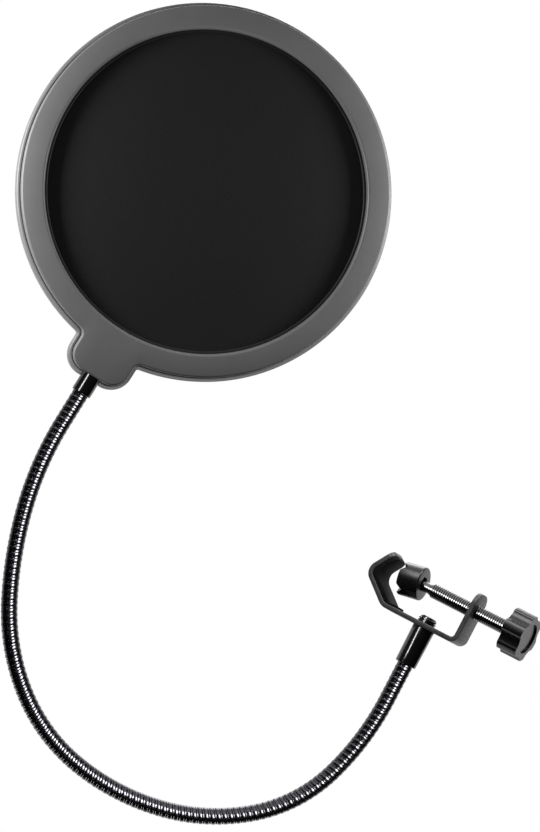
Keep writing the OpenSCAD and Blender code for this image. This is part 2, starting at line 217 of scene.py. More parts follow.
class Route:
    """A path in a plane: legs of (length, turn to the right in degrees) from a start and a heading.
    It runs straight on before its start and past its end."""

    def __init__(self, start, heading, legs):
        self.legs = []
        at, s = Vector(start), 0.0
        for length, turn in legs:
            self.legs.append((s, at, heading, length, turn))
            at = self.step(at, heading, length, turn, length)[0]
            heading -= turn
            s += length
        self.length = s
        self.legs.append((s, at, heading, 1.0, 0.0))

    @staticmethod
    def step(at, heading, length, turn, s):
        """The point and heading after s along one leg."""
        if turn == 0:
            a = math.radians(heading)
            return at + s * Vector((math.cos(a), math.sin(a))), heading
        radius = length / math.radians(turn)
        a = math.radians(heading)
        centre = at + radius * Vector((math.sin(a), -math.cos(a)))
        now = heading - turn * s / length
        b = math.radians(now)
        return centre - radius * Vector((math.sin(b), -math.cos(b))), now

    def at(self, s):
        if s <= 0:
            _, at, heading, _, _ = self.legs[0]
            return self.step(at, heading, 1.0, 0.0, s)
        start, at, heading, length, turn = [leg for leg in self.legs if leg[0] <= s][-1]
        return self.step(at, heading, length, turn, s - start)


def neck_route():
    """The neck's centre line from the first bending point to the last, and how far along it each one lies."""
    points = [Vector((p.x, p.z)) for p in (anchor(f"bend_{i}") for i in range(1, 10))]
    down = -CLAMP_Z
    heading = math.degrees(math.atan2(down.z, down.x)) % 360
    start, legs, marks, first = heading, [], [0.0], heading
    for here, there in zip(points, points[1:]):
        chord = there - here
        turn = 2 * (start - math.degrees(math.atan2(chord.y, chord.x)) % 360)
        turn = (turn + 360) % 720 - 360
        half = math.radians(turn / 2)
        length = chord.length * half / math.sin(half)
        legs.append((length, turn))
        marks.append(marks[-1] + length)
        start -= turn
    return Route(points[0], first, legs), marks


NECK, BENDS = neck_route()
NECK_Y = anchor("bend_1").y


def in_neck_plane(point):
    return Vector((point.x, NECK_Y, point.y)) * MM


def to_neck(s, y, z):
    """A point at distance s along the neck, y to its left and z towards the shield's face."""
    point, heading = NECK.at(s)
    a = math.radians(heading)
    return in_neck_plane(point + y * Vector((-math.sin(a), math.cos(a)))) + Vector((0, -z * MM, 0))


# The shield's axes: 0 at its centre, X out along the tab, Z out of its face
low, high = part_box("front_mesh")
_, end_heading = NECK.at(BENDS[-1] + TOP_RUN)
shield_out = -Vector((math.cos(math.radians(end_heading)), 0, math.sin(math.radians(end_heading))))
shield_middle = Vector(((low.x + high.x) / 2 / MM, NECK_Y, (low.z + high.z) / 2 / MM))
IN_SHIELD = place(shield_middle, shield_out, Vector((0, -1, 0)))


# ---- Materials ----


class Signal:
    """One output in a material's nodes. Arithmetic on it adds Math nodes."""

    def __init__(self, finish, socket):
        self.finish, self.socket = finish, socket

    def math(self, operation, *others):
        values = {i: v for i, v in enumerate((self,) + others)}
        return self.finish.node("Math", {"operation": operation}, values)

    def __add__(self, other):
        return self.math("ADD", other)

    def __mul__(self, other):
        return self.math("MULTIPLY", other)


class Finish:
    """A material under construction, on the object's own coordinates in metres."""

    def __init__(self, name, colour, roughness, metallic=0.0, coat=0.0, coat_roughness=0.03, specular=0.5):
        self.material = bpy.data.materials.new(name)
        self.material.use_nodes = True
        self.tree = self.material.node_tree
        self.shader = self.tree.nodes["Principled BSDF"]
        self.colour = tuple(colour) + (1.0,)
        self.set("Base Color", self.colour)
        self.set("Roughness", roughness)
        self.set("Metallic", metallic)
        self.set("Coat Weight", coat)
        self.set("Coat Roughness", coat_roughness)
        self.set("Specular IOR Level", specular)
        self.material.diffuse_color = self.colour

    def put(self, socket, value):
        if isinstance(value, Signal):
            self.tree.links.new(value.socket, socket)
        else:
            socket.default_value = value

    def set(self, name, value):
        self.put(self.shader.inputs[name], value)

    def node(self, kind, settings=None, values=None, output=0):
        made = self.tree.nodes.new("ShaderNode" + kind)
        for name, value in (settings or {}).items():
            setattr(made, name, value)
        for name, value in (values or {}).items():
            self.put(made.inputs[name], value)
        return Signal(self, made.outputs[output])

    def coordinates(self):
        return self.node("TexCoord", output="Object")

    def noise(self, size, detail=2.0, stretch=None):
        """Noise with features of about that size, in metres, from 0 to 1."""
        where = self.coordinates()
        if stretch:
            where = self.node("Mapping", {}, {"Vector": where, "Scale": stretch})
        return self.node("TexNoise", {}, {"Vector": where, "Scale": 1 / size, "Detail": detail}, "Fac")

    def ramp(self, value, low, high, at=(0.0, 1.0)):
        """value spread from low to high between the two ends of at."""
        return self.node("MapRange", {}, {0: value, 1: at[0], 2: at[1], 3: low, 4: high})

    def tint(self, amount, other):
        """The base colour blended to another one by a signal."""
        settings = {"data_type": "RGBA"}
        values = {0: amount, 6: self.colour, 7: tuple(other) + (1.0,)}
        self.set("Base Color", self.node("Mix", settings, values, 2))

    def bump(self, height, depth, strength=1.0):
        """Relief from a signal of 0 to 1, depth in metres."""
        values = {"Strength": strength, "Distance": depth, "Height": height}
        self.set("Normal", self.node("Bump", {}, values))


def grey_shell():
    """Satin grey moulding with a fine spark texture."""
    made = Finish("grey_shell", (0.150, 0.150, 0.151), 0.42)
    cloud = made.noise(14 * MM, 3.0)
    made.tint(made.ramp(cloud, 0.0, 0.5, (0.3, 0.7)), (0.128, 0.128, 0.130))
    grain = made.noise(0.25 * MM, 2.0)
    made.set("Roughness", made.ramp(made.noise(1.6 * MM), 0.38, 0.47, (0.3, 0.7)))
    made.bump(grain, 0.012 * MM, 0.6)
    return made.material


def black_hoop():
    """Plain black moulding of the hoops that hold the mesh."""
    made = Finish("black_hoop", (0.006, 0.006, 0.006), 0.55, specular=0.3)
    made.tint(made.noise(6 * MM), (0.010, 0.010, 0.010))
    made.bump(made.noise(0.3 * MM), 0.02 * MM, 0.5)
    return made.material


def nylon_mesh():
    """Fine black weave: two sets of yarns that cross over and under each other."""
    made = Finish("nylon_mesh", (0.0115, 0.0115, 0.0118), 0.62, specular=0.12)
    half_turns = math.pi / (THREAD_GAP * MM)
    across = made.node("SeparateXYZ", {}, {0: made.coordinates()}, 0) * half_turns
    up = made.node("SeparateXYZ", {}, {0: made.coordinates()}, 2) * half_turns
    warp, weft = across.math("SINE"), up.math("SINE")
    relief = warp * weft * 0.5 + 0.5
    yarns = warp.math("ABSOLUTE").math("MINIMUM", weft.math("ABSOLUTE"))
    made.tint(made.ramp(yarns, 0.0, 1.0, (0.0, 0.6)), (0.015, 0.015, 0.0155))
    made.bump(relief, 0.08 * MM, 0.5)
    return made.material


def coil_wire():
    """Black-nickel plated spring wire, bright where it catches the light."""
    made = Finish("coil_wire", (0.105, 0.105, 0.114), 0.22, metallic=1.0)
    made.tint(made.ramp(made.noise(2.5 * MM, 3.0), 0.0, 0.6, (0.35, 0.75)), (0.060, 0.060, 0.068))
    made.set("Roughness", made.ramp(made.noise(0.9 * MM), 0.19, 0.26, (0.3, 0.7)))
    made.bump(made.noise(0.4 * MM), 0.001 * MM, 0.3)
    return made.material


def ferrule_gloss():
    """Glossy black lacquer."""
    made = Finish("ferrule_gloss", (0.006, 0.006, 0.006), 0.16, coat=0.3, coat_roughness=0.08)
    made.set("Roughness", made.ramp(made.noise(1.5 * MM), 0.13, 0.20, (0.35, 0.75)))
    made.tint(made.noise(3 * MM), (0.010, 0.010, 0.011))
    made.bump(made.noise(4 * MM), 0.002 * MM, 0.2)
    return made.material


def plated_steel(name, shade, roughness):
    """Turned steel with a plated skin and a faint fine-grained texture."""
    made = Finish(name, (shade, shade, shade), roughness, metallic=1.0)
    dull = shade * 0.75
    made.tint(made.ramp(made.noise(2 * MM, 3.0), 0.0, 1.0, (0.45, 0.8)), (dull, dull, dull))
    made.set("Roughness", made.ramp(made.noise(0.8 * MM), roughness * 0.9, roughness * 1.2, (0.3, 0.7)))
    made.bump(made.noise(0.3 * MM), 0.001 * MM, 0.3)
    return made.material


def powder_coat():
    """Dark powder-coated steel with the coat's fine orange peel."""
    made = Finish("powder_coat", (0.085, 0.085, 0.086), 0.34)
    made.tint(made.ramp(made.noise(5 * MM, 3.0), 0.0, 1.0, (0.35, 0.7)), (0.048, 0.048, 0.050))
    made.set("Roughness", made.ramp(made.noise(0.9 * MM), 0.34, 0.48, (0.3, 0.7)))
    made.bump(made.noise(0.45 * MM, 2.5), 0.02 * MM, 0.5)
    return made.material


def black_rubber():
    """Matt moulded rubber."""
    made = Finish("black_rubber", (0.006, 0.006, 0.006), 0.72, specular=0.1)
    made.tint(made.ramp(made.noise(2 * MM, 4.0), 0.0, 1.0, (0.4, 0.7)), (0.010, 0.010, 0.010))
    made.bump(made.noise(0.35 * MM, 4.0), 0.05 * MM, 0.5)
    return made.material


def satin_black(name, shade, roughness):
    """Satin black moulding."""
    made = Finish(name, (shade, shade, shade), roughness)
    dull = shade * 0.7
    made.tint(made.ramp(made.noise(3 * MM, 3.0), 0.0, 1.0, (0.35, 0.7)), (dull, dull, dull))
    made.set("Roughness", made.ramp(made.noise(0.8 * MM), roughness - 0.05, roughness + 0.07, (0.3, 0.7)))
    made.bump(made.noise(0.22 * MM), 0.012 * MM, 0.5)
    return made.material


GREY_SHELL = grey_shell()
BLACK_HOOP = black_hoop()
NYLON_MESH = nylon_mesh()
COIL_WIRE = coil_wire()
FERRULE_GLOSS = ferrule_gloss()
ZINC_STEEL = plated_steel("zinc_steel", 0.50, 0.28)
SCREW_STEEL = plated_steel("screw_steel", 0.19, 0.18)
STUD_STEEL = plated_steel("stud_steel", 0.16, 0.22)
POWDER_COAT = powder_coat()
BLACK_RUBBER = black_rubber()
KNOB_BLACK = satin_black("knob_black", 0.012, 0.24)
PAD_BLACK = satin_black("pad_black", 0.012, 0.28)


# ---- Making pieces ----


def piece(name, bm, matrix, material, smooth=40.0):
    """The bmesh as an object in the frame, shaded smooth up to that angle."""
    bm.transform(matrix)
    bmesh.ops.recalc_face_normals(bm, faces=bm.faces)
    for face in bm.faces:
        face.smooth = True
    for edge in bm.edges:
        if len(edge.link_faces) == 2:
            edge.smooth = edge.calc_face_angle(0.0) < math.radians(smooth)
    data = bpy.data.meshes.new(name)
    bm.to_mesh(data)
    bm.free()
    data.materials.append(material)
    made = bpy.data.objects.new(name, data)
    scene.collection.objects.link(made)
    return made


def lathe(profile, steps=96):
    """A profile of (radius, height) turned about Z. It closes on itself unless both its ends lie on the
    axis."""
    bm = bmesh.new()
    corners = [bm.verts.new((r, 0, z)) for r, z in profile]
    pairs = list(zip(corners, corners[1:]))
    if profile[0][0] > 0 or profile[-1][0] > 0:
        pairs.append((corners[-1], corners[0]))
    edges = [bm.edges.new(pair) for pair in pairs]
    bmesh.ops.spin(
        bm,
        geom=corners + edges,
        cent=(0, 0, 0),
        axis=(0, 0, 1),
        angle=2 * math.pi,
        steps=steps,
        use_merge=True,
    )
    bmesh.ops.remove_doubles(bm, verts=bm.verts, dist=MERGE)
    bmesh.ops.dissolve_degenerate(bm, edges=bm.edges, dist=MERGE)
    bmesh.ops.recalc_face_normals(bm, faces=bm.faces)
    return bm


def arc(centre, radius, start, end, steps):
    """Points on an arc, angles in degrees."""
    turn = [math.radians(start + (end - start) * k / steps) for k in range(steps + 1)]
    return [(centre[0] + radius * math.cos(a), centre[1] + radius * math.sin(a)) for a in turn]


def coil(bm, profile, pitch, turns, steps):
    """A wire of that closed profile of (along, out), wound right-handed about X."""
    corners = [bm.verts.new((x, 0, r)) for x, r in profile]
    section = bm.faces.new(corners)
    bmesh.ops.spin(
        bm,
        geom=corners + section.edges[:] + [section],
        cent=(0, 0, 0),
        axis=(1, 0, 0),
        dvec=(pitch / steps, 0, 0),
        angle=2 * math.pi * turns,
        steps=round(turns * steps),
    )


def extruded(outline, low, high):
    """A prism of a flat outline, from height low to high."""
    bm = bmesh.new()
    base = bm.faces.new([bm.verts.new((x, y, low)) for x, y in outline])
    top = bmesh.ops.extrude_face_region(bm, geom=[base], use_keep_orig=True)
    moved = [part for part in top["geom"] if isinstance(part, bmesh.types.BMVert)]
    bmesh.ops.translate(bm, verts=moved, vec=(0, 0, high - low))
    bmesh.ops.recalc_face_normals(bm, faces=bm.faces)
    return bm


def round_edges(bm, offset, segments, chosen):
    """Rounds the edges that chosen(edge) picks."""
    edges = [edge for edge in bm.edges if chosen(edge)]
    bmesh.ops.bevel(
        bm,
        geom=edges,
        offset=offset,
        segments=segments,
        profile=0.5,
        affect="EDGES",
        material=-1,
        clamp_overlap=True,
    )


def sharper_than(degrees):
    return lambda edge: len(edge.link_faces) == 2 and edge.calc_face_angle(0.0) > math.radians(degrees)


def loose(bm):
    """A bmesh as a scratch object."""
    data = bpy.data.meshes.new("loose")
    bm.to_mesh(data)
    bm.free()
    made = bpy.data.objects.new("loose", data)
    scene.collection.objects.link(made)
    return made


def cut(bm, cutters):
    """What is left of a bmesh when the cutters are taken out of it."""
    body = loose(bm)
    tools = [loose(cutter) for cutter in cutters]
    for tool in tools:
        modifier = body.modifiers.new("cut", "BOOLEAN")
        modifier.operation, modifier.solver, modifier.object = "DIFFERENCE", "EXACT", tool
    bpy.context.view_layer.update()
    left = bmesh.new()
    left.from_object(body, bpy.context.evaluated_depsgraph_get())
    for scratch in [body] + tools:
        bpy.data.objects.remove(scratch)
    bmesh.ops.remove_doubles(left, verts=left.verts, dist=MERGE)
    return left


def cylinder(radius, low, high, steps=48):
    """A plain cylinder along Z, for cutting."""
    bm = bmesh.new()
    lift = Matrix.Translation((0, 0, (low + high) / 2))
    bmesh.ops.create_cone(
        bm, cap_ends=True, segments=steps, radius1=radius, radius2=radius, depth=high - low, matrix=lift
    )
    return bm


TO_X = Matrix.Rotation(math.radians(90), 4, "Y")  # turns Z onto X


# ---- Shield ----


def shield_outline(inset):
    """Points of the shield's outer edge with their outward directions, counter-clockwise from the tab's
    middle. The inset outline lies that far inside the rear frame's."""
    ring_r = REAR_R - inset
    half_w = TAB_HALF_W - inset
    corner_r = TAB_CORNER_R - inset
    reach = TAB_REACH - inset
    fillet = SHOULDER_R + inset
    side_x = math.sqrt((ring_r + fillet) ** 2 - (half_w + fillet) ** 2)
    meet = math.degrees(math.atan2(half_w + fillet, side_x))
    half = [((reach, 0.0), 0.0), ((reach, (half_w - corner_r) / 2), 0.0)]
    corner_at = (reach - corner_r, half_w - corner_r)
    half += list(zip(arc(corner_at, corner_r, 0, 90, 16), [90 * k / 16 for k in range(17)]))
    shoulder = arc((side_x, half_w + fillet), fillet, -90, meet - 180, 8)
    half += list(zip(shoulder, [90 + (meet - 90) * k / 8 for k in range(9)]))
    steps = 84
    around = [meet + (180 - meet) * k / steps for k in range(1, steps + 1)]
    half += [((ring_r * math.cos(math.radians(a)), ring_r * math.sin(math.radians(a))), a) for a in around]
    mirrored = [((x, -y), -a) for (x, y), a in reversed(half[1:-1])]
    return half + mirrored


def frame_shell(inset, edge_profile, opening_profile):
    """A ring with a tab. edge_profile is (inwards from the outer edge, height), from the face to the back,
    and opening_profile is (radius, height), from the back to the face."""
    bm = bmesh.new()
    loops = []
    for (x, y), out in shield_outline(inset):
        a, b = math.radians(out), math.atan2(y, x)
        section = [(x - d * math.cos(a), y - d * math.sin(a), z) for d, z in edge_profile]
        section += [(r * math.cos(b), r * math.sin(b), z) for r, z in opening_profile]
        corners = [bm.verts.new(point) for point in section]
        loops.append([bm.edges.new(pair) for pair in zip(corners, corners[1:] + corners[:1])])
    for here, there in zip(loops, loops[1:] + loops[:1]):
        bmesh.ops.bridge_loops(bm, edges=here + there)
    return bm


def front_frame():
    """The front frame is a lid that closes onto the rear one."""
    skirt = -HALF_T + FRAME_WALL
    inside = HALF_T - FRAME_WALL
    edge = arc((OUTER_ROUND, HALF_T - OUTER_ROUND), OUTER_ROUND, 90, 180, 4)
    edge += [(0, skirt), (FRAME_WALL, skirt), (FRAME_WALL, inside)]
    opening = [(OPENING_R + FRAME_WALL, inside), (OPENING_R + FRAME_WALL, LIP_Z), (OPENING_R, LIP_Z)]
    opening += arc((OPENING_R + INNER_ROUND, HALF_T - INNER_ROUND), INNER_ROUND, 180, 90, 5)
    bm = frame_shell(STEP, edge, opening)
    made = piece("front_frame_shell", bm, IN_SHIELD, GREY_SHELL, 30)
    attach(made, "shield")
    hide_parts("front_frame")


def rear_frame():
    """The rear frame is a tray: wall, back and the lip round its opening."""
    inside = -HALF_T + FRAME_WALL
    lip, crown = 0.25, 1.1
    edge = [(FRAME_WALL, inside)]
    edge += arc((FRAME_WALL - lip, RIM_H - lip), lip, 0, 90, 3)
    edge += arc((crown, RIM_H - crown), crown, 90, 180, 6)
    edge += arc((OUTER_ROUND, -HALF_T + OUTER_ROUND), OUTER_ROUND, 180, 270, 4)
    opening = arc((OPENING_R + INNER_ROUND, -HALF_T + INNER_ROUND), INNER_ROUND, 270, 180, 5)
    opening += [(OPENING_R, -LIP_Z), (OPENING_R + FRAME_WALL, -LIP_Z), (OPENING_R + FRAME_WALL, inside)]
    bm = frame_shell(0.0, edge, opening)
    bmesh.ops.recalc_face_normals(bm, faces=bm.faces)
    holes = []
    for side in (-1, 1):
        hole = cylinder(SCREW_HOLE_R, -HALF_T - 1, inside + 1, 40)
        at = (TAB_REACH - TAB_SCREW_BACK, side * TAB_SCREW_OFF, 0)
        bmesh.ops.translate(hole, verts=hole.verts, vec=at)
        holes.append(hole)
    made = piece("rear_frame_shell", cut(bm, holes), IN_SHIELD, GREY_SHELL, 30)
    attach(made, "shield")
    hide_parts("rear_frame")


def hoop(name, low, high):
    """A hoop with a rounded inner edge."""
    middle, half = (low + high) / 2, (high - low) / 2
    r = min(half, 0.7)
    profile = arc((HOOP_IN_R + r, high - r), r, 180, 90, 4) + [(HOOP_OUT_R, high), (HOOP_OUT_R, low)]
    profile += arc((HOOP_IN_R + r, low + r), r, 270, 180, 4)
    made = piece(name + "_ring", lathe(profile, 180), IN_SHIELD, BLACK_HOOP, 50)
    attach(made, "shield")
    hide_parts(name)


def mesh_sheet(name, low):
    """One round of nylon mesh, stretched flat."""
    bm = cylinder(MESH_R, low, low + MESH_T, 180)
    made = piece(name + "_sheet", bm, IN_SHIELD, NYLON_MESH, 30)
    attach(made, "shield")
    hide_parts(name)


def collar():
    """The upper ferrule: a short sleeve with a rolled mouth, out of the tab's end."""
    end = TAB_REACH + COLLAR_L
    bore = NECK_R + FERRULE_GAP
    r = MOUTH_ROUND
    profile = [(bore, TAB_REACH - COLLAR_SEAT), (COLLAR_R, TAB_REACH - COLLAR_SEAT)]
    profile += arc((COLLAR_R - r, end - r), r, 0, 90, 4) + [(bore + 0.15, end), (bore, end - 0.15)]
    bm = lathe(profile, 64)
    made = piece("upper_ferrule_sleeve", bm, IN_SHIELD @ TO_X, FERRULE_GLOSS, 35)
    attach(made, "shield")
    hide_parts("upper_ferrule")


# ---- Neck ----


def neck_coils():
    """The neck is a wide flat-backed wire with a narrow one wound between its turns. Each piece is one
    stretch of coil, centred on a bending point."""
    pitch = STRETCH / COIL_TURNS
    crown = [(-0.46, 3.39), (0, NECK_R), (0.46, 3.39)]
    wide = [(-0.74, 2.7), (-0.74, 3.15), (-0.66, 3.31)] + crown + [(0.66, 3.31), (0.74, 3.15), (0.74, 2.7)]
    narrow = [(-0.42, 2.7), (-0.4, 3.12), (-0.25, 3.3), (0.25, 3.3), (0.4, 3.12), (0.42, 2.7)]
    straight = bmesh.new()
    coil(straight, wide, pitch, COIL_TURNS, COIL_STEPS)
    coil(straight, [(x + pitch / 2, r) for x, r in narrow], pitch, COIL_TURNS, COIL_STEPS)
    for i, mark in enumerate(BENDS, 1):
        bm = straight.copy()
        start = mark - STRETCH / 2
        for v in bm.verts:
            v.co = to_neck(start + v.co.x, v.co.y, v.co.z)
        made = piece(f"neck_coil_{i}", bm, Matrix(), COIL_WIRE, 22)
        before = END_RUN if i == 1 else STRETCH / 2 - 1
        after = TOP_RUN if i == len(BENDS) else STRETCH / 2 - 1
        low_end, high_end = to_neck(mark - before, 0, 0), to_neck(mark + after, 0, 0)
        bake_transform(made)
        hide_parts(f"neck_{i:02d}")
        if i == len(BENDS):
            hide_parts(f"neck_{i + 1:02d}")
    straight.free()


def ferrule():
    """The lower ferrule: a slightly tapered sleeve with a rolled mouth."""
    bore = NECK_R + FERRULE_GAP
    r = MOUTH_ROUND
    top = 0.25
    profile = [(bore, -0.3), (bore, -FERRULE_L + 0.15), (bore + 0.15, -FERRULE_L)]
    profile += arc((FERRULE_MOUTH_R - r, r - FERRULE_L), r, 270, 360, 4)
    profile += arc((FERRULE_TOP_R - top, -top), top, 0, 90, 3)
    profile += [(bore, 0)]
    made = piece("lower_ferrule_sleeve", lathe(profile[1:], 64), AT_STUD, FERRULE_GLOSS, 35)
    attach(made, "neck_base")
    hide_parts("lower_ferrule")


# ---- Clamp ----


def strip_route():
    """The strip's outer side, from the ear's end to the jaw's tip: X away from the jaw, Y up."""
    ear = EAR_BEND_R * math.tan(math.radians(45))
    base = BASE_BEND_R * math.tan(math.radians(LOWER_LEG_TURN / 2))
    tip = APEX_BEND_R * math.tan(math.radians(UPPER_LEG_TURN / 2))
    legs = [
        (EAR_H - ear, 0),
        (EAR_BEND_R * math.pi / 2, 90),
        (BASE_L - ear - base, 0),
        (BASE_BEND_R * math.radians(LOWER_LEG_TURN), LOWER_LEG_TURN),
        (LOWER_LEG_L - base - tip, 0),
        (APEX_BEND_R * math.radians(UPPER_LEG_TURN), UPPER_LEG_TURN),
        (UPPER_LEG_L - tip, 0),
    ]
    return Route((0, EAR_H), 270, legs)


def bent(bm, route):
    """Bends a flat plate along the route: X runs along it, Y across the strip, and Z is the height inside its
    outer side."""
    for v in bm.verts:
        point, heading = route.at(v.co.x)
        a = math.radians(heading)
        point = point + v.co.z * Vector((math.sin(a), -math.cos(a)))
        v.co = (point.x, v.co.y, point.y)


def plate_outline(length):
    """A strip with four round corners, in its flat state."""
    r, half = JAW_CORNER_R, STRIP_W / 2
    outline = arc((length - r, half - r), r, 90, 0, 8) + arc((length - r, r - half), r, 0, -90, 8)
    r = EAR_CORNER_R
    return outline + arc((r, r - half), r, 270, 180, 8) + arc((r, half - r), r, 180, 90, 8)


def bracket():
    """A punched strip with round ends and eased edges, bent in three places."""
    route = strip_route()
    bm = extruded(plate_outline(route.length), 0, STRIP_T)
    round_edges(bm, STRIP_EASE, 3, sharper_than(60))
    for start, _, _, length, turn in route.legs[:-1]:
        cuts = max(1, round(abs(turn) / 5))
        for k in range(cuts + 1 if turn else 1):
            at = start + length * k / cuts
            geom = bm.verts[:] + bm.edges[:] + bm.faces[:]
            bmesh.ops.bisect_plane(bm, geom=geom, plane_co=(at, 0, 0), plane_no=(1, 0, 0), dist=0.0001)
    bent(bm, route)
    made = piece("bracket_strip", bm, IN_CLAMP, POWDER_COAT, 35)
    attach(made, "clamp")
    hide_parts("bracket")


def jaw_liner():
    """The rubber backs onto both jaw legs, fills the corner between them and ends in a thin toe on the
    base."""
    route = strip_route()
    starts = [leg[0] for leg in route.legs]
    far = STRIP_T + LINER_T

    def inside(s, depth):
        point, heading = route.at(s)
        a = math.radians(heading)
        return point + depth * Vector((math.sin(a), -math.cos(a)))

    def along(low, high, steps):
        return [inside(low + (high - low) * k / steps, STRIP_T) for k in range(steps + 1)]

    lower = math.radians(LOWER_LEG_TURN)
    bisector = math.radians(90 - LOWER_LEG_TURN - UPPER_LEG_TURN / 2)
    apex = Vector((-BASE_L - LOWER_LEG_L * math.cos(lower), LOWER_LEG_L * math.sin(lower)))
    reach = (far + LINER_CORNER_R) / math.cos(math.radians(UPPER_LEG_TURN / 2))
    centre = apex + reach * Vector((math.cos(bisector), math.sin(bisector)))
    corner = arc(centre, LINER_CORNER_R, 270 - LOWER_LEG_TURN - UPPER_LEG_TURN, 270 - LOWER_LEG_TURN, 10)
    toe_x = -BASE_L - STRIP_T / math.tan(lower) + far / math.sin(lower)
    back = along(starts[3], starts[4], 8) + along(starts[5], starts[6], 10) + [inside(route.length, STRIP_T)]
    tip = inside(route.length, far)
    toe = [(toe_x - TOE_T / math.tan(lower), STRIP_T + TOE_T), (toe_x + TOE_RUN, STRIP_T + TOE_T)]
    outline = [(toe_x + TOE_RUN, STRIP_T)] + [tuple(point) for point in back + [tip]] + corner + toe
    bm = extruded(outline, -STRIP_W / 2, STRIP_W / 2)

    def at_tip(edge):
        ends = [(v.co.xy - tip).length + (v.co.xy - back[-1]).length for v in edge.verts]
        return max(ends) < LINER_T + 0.01 and edge.calc_length() < STRIP_W / 2

    round_edges(bm, JAW_CORNER_R, 6, at_tip)
    round_edges(bm, LINER_EASE, 2, sharper_than(50))
    upright = Matrix.Rotation(math.radians(90), 4, "X")
    made = piece("jaw_liner_rubber", bm, IN_CLAMP @ upright, BLACK_RUBBER, 35)
    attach(made, "clamp")
    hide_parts("jaw_liner")


def threaded(bm, start, length, outer, core):
    """A thread from start, over length, on a core along X."""
    turns = int(length / PITCH)
    flank = FLANK * PITCH
    crest = CREST * PITCH
    profile = [(-flank, core - 0.05), (-crest, outer), (crest, outer), (flank, core - 0.05)]
    shift = start + flank + (length - turns * PITCH) / 2
    coil(bm, [(x + shift, r) for x, r in profile], PITCH, turns - 1 + 0.5, 24)


def lathed_along_x(profile, steps):
    bm = lathe(profile, steps)
    bmesh.ops.transform(bm, matrix=TO_X, verts=bm.verts)
    return bm


def clamp_screw():
    """A threaded rod with a plain bright end in the pad."""
    core = SCREW_R - THREAD_DEPTH
    tip = -THREAD_IN - SHANK_SHOW - PAD_REAR - 1.0
    hold = THREAD_OUT + KNOB_L - KNOB_END_T
    profile = [
        (0, tip), (SHANK_R - 0.3, tip), (SHANK_R, tip + 0.3), (SHANK_R, -THREAD_IN - 0.4), (core, -THREAD_IN),
        (core, hold), (0, hold),
    ]  # fmt: skip
    bm = lathed_along_x(profile, 32)
    threaded(bm, -THREAD_IN, THREAD_IN + THREAD_OUT + 1, SCREW_R, core)
    made = piece("clamp_screw_rod", bm, ON_SCREW, SCREW_STEEL, 30)
    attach(made, "screw")
    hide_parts("clamp_screw")


def stud():
    """The threaded stud's end above the base."""
    core = STUD_R - THREAD_DEPTH
    top = STRIP_T + STUD_SHOW
    profile = [(0, -5), (core, -5), (core, top - 0.5), (core - 0.5, top), (0, top)]
    bm = lathed_along_x(profile, 32)
    threaded(bm, -0.5, top - 0.1, STUD_R, core)
    made = piece("stud_thread", bm, AT_STUD @ TO_X.inverted(), STUD_STEEL, 30)
    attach(made, "neck_base")
    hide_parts("stud")


def knob_outline():
    """Lobes on the knob's circle with flutes between them."""
    reach = KNOB_R - FLUTE_DEPTH + FLUTE_R
    half = math.degrees(math.acos((KNOB_R**2 + reach**2 - FLUTE_R**2) / (2 * KNOB_R * reach)))
    opening = math.degrees(math.asin(KNOB_R * math.sin(math.radians(half)) / FLUTE_R))
    outline = []
    pitch = 360 / KNOB_LOBES
    for i in range(KNOB_LOBES):
        turn = 180 + KNOB_TURN + i * pitch
        centre = (reach * math.cos(math.radians(turn)), reach * math.sin(math.radians(turn)))
        outline += arc(centre, FLUTE_R, turn + 180 + opening, turn + 180 - opening, 10)
        outline += arc((0, 0), KNOB_R, turn + half, turn + pitch - half, 8)[1:-1]
    return outline


def upright(edge):
    return abs(edge.verts[0].co.z - edge.verts[1].co.z) > KNOB_L / 2


def knob():
    """A six-lobed knob with soft lobe edges and a shallow recess in its end."""
    bm = extruded(knob_outline(), 0, KNOB_L)
    sharp = sharper_than(25)
    round_edges(bm, LOBE_ROUND, 3, lambda edge: upright(edge) and sharp(edge))
    sharp = sharper_than(60)
    round_edges(bm, KNOB_ROUND, 3, lambda edge: sharp(edge) and not upright(edge))
    bm = cut(bm, [cylinder(RECESS_R, KNOB_L - RECESS_DEPTH, KNOB_L + 1, 72)])
    across = Matrix.Translation((THREAD_OUT, 0, 0)) @ TO_X
    made = piece("knob_grip", bm, ON_SCREW @ across, KNOB_BLACK, 40)
    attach(made, "screw")
    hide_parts("knob")


def pressure_pad():
    """A round pad with an oversize hole for the screw's end, and two crossed vee grooves in its face."""
    rear, front = PAD_REAR, PAD_REAR - PAD_L
    r = PAD_ROUND
    profile = [(0, front)] + arc((PAD_R - r, front + r), r, 270, 360, 4)
    profile += arc((PAD_R - r, rear - r), r, 0, 90, 4)
    profile += [(PAD_HOLE_R + 0.3, rear), (PAD_HOLE_R, rear - 0.3), (PAD_HOLE_R, rear - PAD_WALL)]
    profile += [(CAVITY_R, rear - PAD_WALL), (CAVITY_R, CAVITY_END), (0, CAVITY_END)]
    grooves = []
    for turn in (0, 90):
        half = GROOVE_DEPTH + 1
        groove = extruded([(-1, half), (-1, -half), (GROOVE_DEPTH, 0)], -PAD_R - 1, PAD_R + 1)
        spun = Matrix.Rotation(math.radians(GROOVE_TURN + turn), 4, "X")
        groove.transform(spun @ Matrix.Translation((front, 0, 0)))
        grooves.append(groove)
    bm = cut(lathed_along_x(profile, 96), grooves)
    made = piece("pressure_pad_body", bm, IN_PAD, PAD_BLACK, 30)
    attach(made, "pad")
    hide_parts("pressure_pad")


# ---- Studio ----

